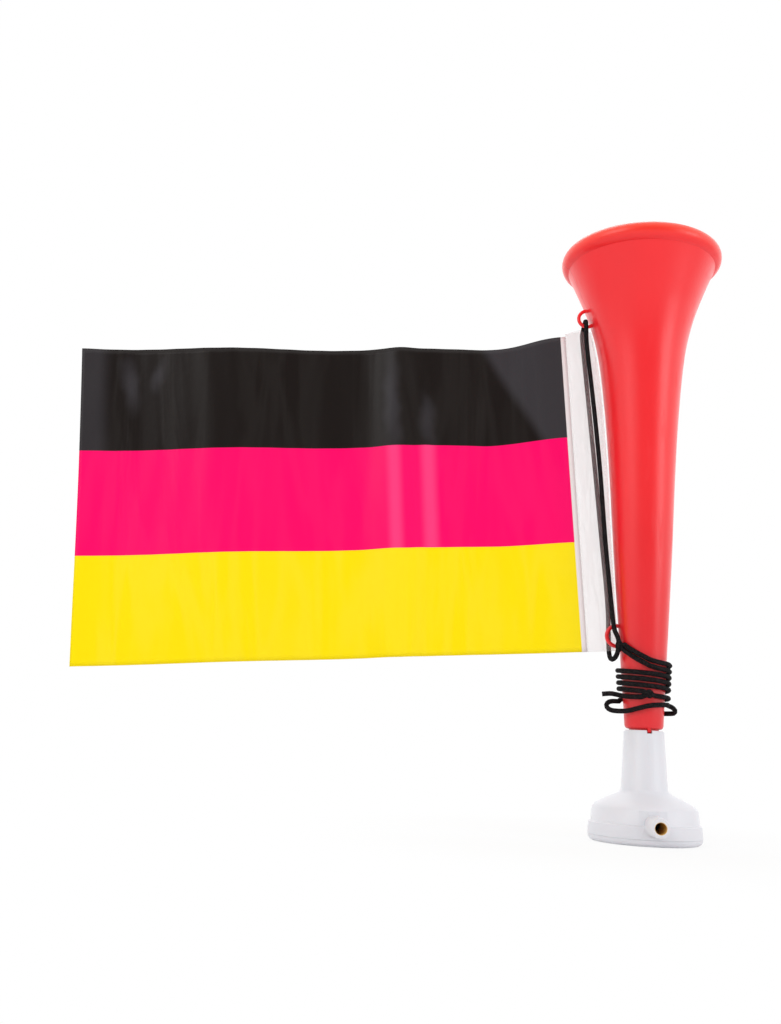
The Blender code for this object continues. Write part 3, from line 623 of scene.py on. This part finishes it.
def sleeve_finish(settings):
    """Clear film, milky where it is creased, with a heat-pressed line at the weld."""
    made, tree, shader = new_material("clear film")
    place = tree.nodes.new("ShaderNodeTexCoord").outputs["UV"]
    axes = add(tree, "ShaderNodeSeparateXYZ", {"Vector": place})
    creases = add(tree, "ShaderNodeGroup", {}, node_tree=film_creases())
    creases.inputs["Size"].default_value = 2.2
    weld = ramped(tree, sums(tree, "ABSOLUTE", axes.outputs["X"]), 0.0003, 0.0009, 1.0, 0.0)
    milk = sums(tree, "MAXIMUM", sums(tree, "MULTIPLY", creases.outputs["Crest"], 0.35), weld)
    tone = mixed(tree, milk, (*settings.sleeve_colour, 1.0), (0.95, 0.90, 0.90, 1.0))
    tree.links.new(tone, shader.inputs["Base Color"])
    tree.links.new(ramped(tree, milk, 0.0, 1.0, 0.10, 0.24), shader.inputs["Alpha"])
    shader.inputs["Roughness"].default_value = 0.3
    shader.inputs["Specular IOR Level"].default_value = 0.3
    bumped(tree, shader, creases.outputs["Height"], 0.5, 0.0007)
    return made


class STADIUM_OT_stage(bpy.types.Operator):
    """Adds the camera, the floor and the studio light"""
    bl_idname = "stadium.stage"
    bl_label = "Stage"

    def execute(self, context):
        scene = context.scene
        settings = scene.stadium_stage
        self.add_camera(scene)
        self.add_floor(settings)
        self.add_lamp("key lamp", (-0.75, -0.7, 0.65), 0.55, settings.key_power)
        self.add_lamp("fill lamp", (0.75, -0.55, 0.35), 0.45, settings.fill_power)
        self.add_lamp("top lamp", (-0.1, 0.35, 0.95), 0.6, settings.fill_power)
        self.set_world(scene, settings)
        scene.view_settings.view_transform = "Standard"
        return {"FINISHED"}

    def add_camera(self, scene):
        data = bpy.data.cameras.new("camera")
        data.sensor_fit = "AUTO"
        data.sensor_width = 36.0
        data.lens = CAMERA_LENS
        data.clip_start = 0.01
        camera = bpy.data.objects.new("camera", data)
        scene.collection.objects.link(camera)
        ahead = Vector((0.0, math.cos(CAMERA_RISE), math.sin(CAMERA_RISE)))
        level = Vector((0.0, -math.sin(CAMERA_RISE), math.cos(CAMERA_RISE)))
        right = Vector((math.cos(CAMERA_ROLL), 0.0, 0.0)) + level * math.sin(CAMERA_ROLL)
        up = Vector((-math.sin(CAMERA_ROLL), 0.0, 0.0)) + level * math.cos(CAMERA_ROLL)
        turn = Matrix((right, up, -ahead)).transposed()
        camera.matrix_world = Matrix.Translation(CAMERA_PLACE) @ turn.to_4x4()
        scene.camera = camera

    def add_floor(self, settings):
        bm = bmesh.new()
        bmesh.ops.create_grid(bm, x_segments=8, y_segments=8, size=6.0)
        floor = mesh_object("floor", bm, self.floor_finish(settings))

    def floor_finish(self, settings):
        made, tree, shader = new_material("floor")
        shader.inputs["Base Color"].default_value = (*settings.floor_colour, 1.0)
        shader.inputs["Roughness"].default_value = 0.9
        shader.inputs["Specular IOR Level"].default_value = 0.0
        paths = tree.nodes.new("ShaderNodeLightPath")
        glow = add(tree, "ShaderNodeEmission", {"Color": (1.0, 1.0, 1.0, 1.0), "Strength": 1.0})
        seen = sums(tree, "MAXIMUM", paths.outputs["Is Camera Ray"], paths.outputs["Is Glossy Ray"])
        seen = sums(tree, "MAXIMUM", seen, paths.outputs["Is Transmission Ray"])
        place = tree.nodes.new("ShaderNodeTexCoord").outputs["Object"]
        far = add(tree, "ShaderNodeVectorMath", {0: place}, operation="LENGTH").outputs["Value"]
        fade = ramped(tree, far, 0.02, 0.14, 0.86, 1.0)
        blend = add(tree, "ShaderNodeMixShader", {0: sums(tree, "MULTIPLY", seen, fade),
                                                  1: shader.outputs[0], 2: glow.outputs[0]})
        tree.links.new(blend.outputs[0], tree.nodes["Material Output"].inputs["Surface"])
        return made

    def add_lamp(self, name, place, size, power):
        data = bpy.data.lights.new(name, "AREA")
        data.size = size
        data.energy = power
        lamp = bpy.data.objects.new(name, data)
        bpy.context.scene.collection.objects.link(lamp)
        lamp.location = place
        aim = Vector((-0.04, 0.0, 0.12)) - Vector(place)
        lamp.rotation_euler = aim.to_track_quat("-Z", "Y").to_euler()

    def set_world(self, scene, settings):
        world = bpy.data.worlds.new("studio")
        world.use_nodes = True
        tree = world.node_tree
        back = tree.nodes["Background"]
        paths = tree.nodes.new("ShaderNodeLightPath")
        seen = sums(tree, "MAXIMUM", paths.outputs["Is Camera Ray"], paths.outputs["Is Transmission Ray"])
        way = tree.nodes.new("ShaderNodeTexCoord").outputs["Generated"]
        ahead = add(tree, "ShaderNodeSeparateXYZ", {"Vector": way}).outputs["Y"]
        mirrored = ramped(tree, ahead, -0.97, -0.45, settings.front_glow, settings.side_glow)
        plain = ramped(tree, seen, 0.0, 1.0, settings.sky, 1.0)
        back.inputs["Color"].default_value = (1.0, 1.0, 1.0, 1.0)
        tree.links.new(ramped(tree, paths.outputs["Is Glossy Ray"], 0.0, 1.0, plain, mirrored),
                       back.inputs["Strength"])
        scene.world = world


class STADIUM_OT_cord(bpy.types.Operator):
    """Lays the black cord: its run between the eyelets, its winding, its loose end and its knots"""
    bl_idname = "stadium.cord"
    bl_label = "Cord and Knots"

    def execute(self, context):
        settings = context.scene.stadium_cord
        finish = cord_finish(settings)
        knots = {name: self.add_knot(name, node, centre, halves, turn, finish)
                 for name, node, centre, halves, turn in KNOTS}
        tied, front = (Vector(centre) for _, _, centre, _, _ in KNOTS)
        sleeved = [rear_strand(x, z) for x, z in REAR_STRAND]
        run = evenly(catmull([tied, *FRONT_ROUTE, *sleeved, *LOOP_ROUTE, tied], 8), 1.2)
        long_path = [tied] + long_strand()
        short_path = [tied] + wound(LONG_LEVEL_Z - SHORT_DROP, SHORT_TURNED) + [front]
        tip = [on_horn(*p) for p in LEFT_END] + [Vector(p) for p in LEFT_TIP]
        left_path = [front] + evenly(catmull(tip, 6), 0.9)
        right_path = [front] + evenly(catmull([on_horn(*p) for p in RIGHT_END], 6), 0.9)
        left_end = self.add_length("lanyard_left_end", "cord_left_end", left_path, finish, settings)
        right_end = self.add_length("lanyard_right_end", "cord_right_end", right_path, finish, settings)
        lengths = (("lanyard_run", "cord_run", run, "knot", "taut", [knots["eyelet_knot"]]),
                   ("lanyard_long_strand", "cord_long_strand", long_path, "bare", "coiled", []),
                   ("lanyard_short_strand", "cord_short_strand", short_path, "knot", "coiled",
                    [knots["front_knot"], left_end, right_end]))
        for name, node, path, far_end, lay, pieces in lengths:
            obj = self.add_length(name, node, path, finish, settings)
        return {"FINISHED"}

    def add_length(self, name, node, path, finish, settings):
        curve = bpy.data.curves.new(name, "CURVE")
        curve.dimensions = "3D"
        curve.bevel_depth = settings.diameter / 2
        curve.bevel_resolution = 4
        curve.use_fill_caps = True
        spline = curve.splines.new("POLY")
        spline.points.add(len(path) - 1)
        for point, place in zip(spline.points, path):
            point.co = (*(place * MM), 1.0)
        spline.use_smooth = True
        obj = add_object(name, curve, finish)
        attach(obj, "bell")
        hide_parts(node)
        return obj

    def add_knot(self, name, node, centre, halves, turn, finish):
        bm = bmesh.new()
        tilts = ((90.0, 0.0, 15.0), (20.0, 25.0, 0.0), (-25.0, 60.0, 40.0))
        for tilt in tilts:
            rotation = (Matrix.Rotation(math.radians(turn + tilt[2]), 3, "Z")
                        @ Matrix.Rotation(math.radians(tilt[1]), 3, "Y")
                        @ Matrix.Rotation(math.radians(tilt[0]), 3, "X"))
            torus(bm, centre, 0.52, 0.46, rotation, 32, 12, [h / 0.98 for h in halves])
        obj = mesh_object(name, bm, finish, 60.0)
        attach(obj, "bell")
        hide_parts(node)
        return obj


class STADIUM_OT_horn(bpy.types.Operator):
    """Turns the red horn with its rolled rim, its eyelets and the key under its collar"""
    bl_idname = "stadium.horn"
    bl_label = "Horn"

    def execute(self, context):
        settings = context.scene.stadium_horn
        bm = bmesh.new()
        revolve(bm, self.profile(), 96)
        for x, z, ring_r, wire_r in EYELETS:
            torus(bm, (x, 0.0, z), ring_r, wire_r, Matrix.Rotation(math.radians(90.0), 3, "X"))
        self.trim_eyelets(bm)
        key = bmesh.ops.create_cube(bm, size=1.0)["verts"]
        bmesh.ops.scale(bm, vec=Vector((1.2, 1.5, 2.0)) * MM, verts=key)
        bmesh.ops.translate(bm, vec=Vector((0.3, -5.9, 39.9)) * MM, verts=key)
        finish = plastic("red plastic", settings.colour, settings.roughness, 0.10, 0.12, horn_marks_and_painted_light)
        horn = mesh_object("horn", bm, finish, 38.0)
        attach(horn, "bell")
        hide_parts("horn_bell")
        return {"FINISHED"}

    def profile(self):
        """The wall: over the bead, down the outside, round the collar and spigot, and up the inside."""
        centre_r, centre_z, bead_r = BEAD
        arc = [math.radians(118.0 - 190.0 * k / 28) for k in range(29)]
        bead = [(centre_r + bead_r * math.cos(a), centre_z + bead_r * math.sin(a)) for a in arc]
        collar_z, collar_r = FLARE[0]
        low = collar_z + 1.4
        heights = [low + (FLARE[-1][0] - low) * (k / 70) ** 0.85 for k in range(69, -1, -1)]
        outer = [(flare_radius(z), z) for z in heights]
        arc = [math.radians(a) for a in (-15, -30, -45, -60, -75, -90)]
        rounding = [(collar_r + COLLAR_ROUNDING * (math.cos(a) - 1.0),
                     collar_z + COLLAR_ROUNDING * (math.sin(a) + 1.0)) for a in arc]
        spigot = [(SPIGOT_R, collar_z), (SPIGOT_R, SPIGOT_BOTTOM_Z), (SPIGOT_BORE_R, SPIGOT_BOTTOM_Z),
                  (SPIGOT_BORE_R, collar_z + 1.0)]
        inner = [(flare_radius(z) - HORN_WALL, z) for z in heights[::-1] if z > 71.0]
        hollow_r = bead_r - HORN_WALL
        arc = [math.radians(-62.0 + 180.0 * k / 20) for k in range(21)]
        hollow = [(centre_r + hollow_r * math.cos(a), centre_z + hollow_r * math.sin(a)) for a in arc]
        return bead + outer + rounding + spigot + inner + hollow

    def trim_eyelets(self, bm):
        """Drops what the rings would leave inside the bore."""
        gone = [f for f in bm.faces
                if len(f.verts) == 4 and all(self.in_bore(v.co) for v in f.verts)]
        bmesh.ops.delete(bm, geom=gone, context="FACES")

    def in_bore(self, co):
        z = co.z / MM
        if not (69.0 < z < 79.0 or 196.0 < z < 206.5) or co.x > 0.0:
            return False
        return math.hypot(co.x, co.y) / MM < flare_radius(z) - HORN_WALL - 0.02


class STADIUM_OT_chamber(bpy.types.Operator):
    """Finishes the white chamber, its cap and the reed inside it"""
    bl_idname = "stadium.chamber"
    bl_label = "Reed Chamber"

    def execute(self, context):
        settings = context.scene.stadium_chamber
        finish = plastic("white plastic", settings.colour, settings.roughness, 0.05, 0.12, chamber_bore_painted_light)
        for node, name in (("chamber_body", "chamber"), ("base_cap", "cap"), ("clamp_ring", "ring")):
            piece = skin_of(node, name, finish)
            if node == "base_cap":
                self.close_seam(piece)
            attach(piece, "base")
            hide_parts(node)
        film = plastic("reed film", (0.85, 0.84, 0.84), 0.2, 0.05, 0.05)
        reed = skin_of("reed_film", "reed", film)
        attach(reed, "base")
        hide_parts("reed_film")
        return {"FINISHED"}

    def close_seam(self, cap):
        """Raises the cap's upper edge to a hair below the chamber's wall, as the two are pressed together."""
        for vert in cap.data.vertices:
            if vert.co.z > 2.0 * MM and vert.co.xy.length > 19.0 * MM:
                vert.co.z += 0.24 * MM


class STADIUM_OT_flag(bpy.types.Operator):
    """Hangs the printed flag and folds its clear sleeve round the cord"""
    bl_idname = "stadium.flag"
    bl_label = "Flag and Sleeve"

    def execute(self, context):
        settings = context.scene.stadium_flag
        self.add_panel(settings)
        self.add_sleeve(settings)
        return {"FINISHED"}

    def wave(self, across, down):
        """How far the film stands off its plane: broad upright folds and two sharp ones by the horn."""
        reach = across / PANEL_WIDTH
        fold = 1.6 * math.sin(reach * 15.0 + 0.5) * min(1.0, reach * 3.0)
        ridge = 2.2 * math.exp(-((across - 68.0 - 0.06 * down) / 7.0) ** 2)
        second = 0.9 * math.exp(-((across - 54.0 - 0.10 * down) / 3.0) ** 2) * min(1.0, down / 30.0)
        dent = 1.3 * math.exp(-((across - 20.0 - 0.35 * down) / 8.0) ** 2) * math.exp(-(down / 55.0) ** 2)
        fine = 0.08 * math.sin(across * 0.55 + 2.0 * math.sin(down * 0.05)) * min(1.0, reach * 4.0)
        lift = 1.2 * reach ** 2 * math.sin(down / PANEL_HEIGHT * 4.0)
        return fold - ridge - second + dent + fine + lift

    def dip(self, across, down):
        """The upper edge hangs lowest a little way from the weld and straightens towards the fly."""
        near = min(1.0, across / 34.0)
        ease = near * near * (3.0 - 2.0 * near)
        fade = 1.0 if across < 34.0 else max(0.0, 1.0 - (across - 34.0) / 160.0)
        return 4.9 * ease * fade * (1.0 - down / PANEL_HEIGHT) ** 1.5

    def add_panel(self, settings):
        columns, rows = 150, 56
        grid = []
        for j in range(rows + 1):
            down = PANEL_HEIGHT * j / rows
            row = []
            for i in range(columns + 1):
                across = (PANEL_WIDTH + WELD_MARGIN) * (columns - i) / columns
                place = hoist_point(-across, down + self.dip(across, down), FLAG_Y + self.wave(across, down))
                row.append((place, across, down))
            grid.append(row)
        panel = film_mesh("flag", grid, flag_finish(settings), settings.film)
        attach(panel, "flag")
        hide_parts("flag_panel")

    def add_sleeve(self, settings):
        rows = 60
        grid = []
        for j in range(rows + 1):
            down = -SLEEVE_RISE + (PANEL_HEIGHT + SLEEVE_RISE) * j / rows
            grid.append(self.sleeve_row(down))
        sleeve = film_mesh("sleeve", grid, sleeve_finish(settings), settings.film)
        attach(sleeve, "bell")
        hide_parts("flag_sleeve")

    def sleeve_row(self, down):
        """One level of the sleeve: from the weld round the cord to the fold behind the horn, and back."""
        weld, touch = sleeve_line(down)
        reach = (touch - weld).length
        ahead = (touch - weld).normalized()
        back = Vector((math.sin(FLANK_ANGLE), math.cos(FLANK_ANGLE), 0.0))
        cord = (cord_x(weld.z) - weld.x) / ahead.x
        fall = min(6.0, reach - cord)
        count = 26
        middle, sides, along_at = [], [], []
        for k in range(count + 1):
            s = SLEEVE_WIDTH * k / count
            along = ahead if s <= reach else back
            place = weld + ahead * s if s <= reach else touch + back * (s - reach)
            width = cord if s < cord else fall
            lift = (math.cos(math.pi * min(1.0, abs(s - cord) / width)) + 1) / 2
            middle.append(place)
            half = 0.12 * min(1.0, s) + 0.1 + (SLEEVE_HALF - 0.2) * lift
            sides.append(Vector((along.y, -along.x, 0.0)) * half)
            along_at.append(s)
        rise = Vector((0.0, 0.0, math.sin(FLAG_LEAN)))
        crown = 2.1 * max(0.0, 1.0 - (down + SLEEVE_RISE) / 24.0)

        def lifted(p, s):
            bow = crown * math.sin(min(1.0, s / 16.0) * math.pi)
            return p + rise * (p - weld).xy.length + Vector((0.0, 0.0, bow))

        row = [(lifted(m + n, s), s, down) for m, n, s in zip(middle, sides, along_at)]
        row.append((lifted(middle[-1] + back * 0.4, SLEEVE_WIDTH), SLEEVE_WIDTH + 0.4, down))
        row += [(lifted(m - n, s), 2 * SLEEVE_WIDTH + 0.8 - s, down)
                for m, n, s in list(zip(middle, sides, along_at))[::-1]]
        return row


class STADIUM_PT_panel(bpy.types.Panel):
    """Lists the horn's operators and settings"""
    bl_idname = "STADIUM_PT_panel"
    bl_label = "Stadium Horn"
    bl_space_type = "VIEW_3D"
    bl_region_type = "UI"
    bl_category = "Stadium Horn"

    def draw(self, context):
        scene = context.scene
        for label, operator, settings in (
                ("Stage", "stadium.stage", scene.stadium_stage), ("Cord", "stadium.cord", scene.stadium_cord),
                ("Horn", "stadium.horn", scene.stadium_horn),
                ("Chamber", "stadium.chamber", scene.stadium_chamber),
                ("Flag", "stadium.flag", scene.stadium_flag)):
            box = self.layout.box()
            box.label(text=label)
            for name in settings.__annotations__:
                box.prop(settings, name)
            box.operator(operator)


SETTINGS = (("stadium_stage", StageSettings), ("stadium_horn", HornSettings),
            ("stadium_chamber", ChamberSettings), ("stadium_flag", FlagSettings),
            ("stadium_cord", CordSettings))
CLASSES = (STADIUM_OT_stage, STADIUM_OT_cord, STADIUM_OT_horn, STADIUM_OT_chamber, STADIUM_OT_flag,
           STADIUM_PT_panel)


def register():
    for name, group in SETTINGS:
        bpy.utils.register_class(group)
        setattr(bpy.types.Scene, name, PointerProperty(type=group))
    for cls in CLASSES:
        bpy.utils.register_class(cls)


def unregister():
    for cls in reversed(CLASSES):
        bpy.utils.unregister_class(cls)
    for name, group in reversed(SETTINGS):
        delattr(bpy.types.Scene, name)
        bpy.utils.unregister_class(group)


def main():
    register()
    bpy.ops.stadium.stage()
    bpy.ops.stadium.cord()
    bpy.ops.stadium.horn()
    bpy.ops.stadium.chamber()
    bpy.ops.stadium.flag()


if __name__ == "__main__":
    main()
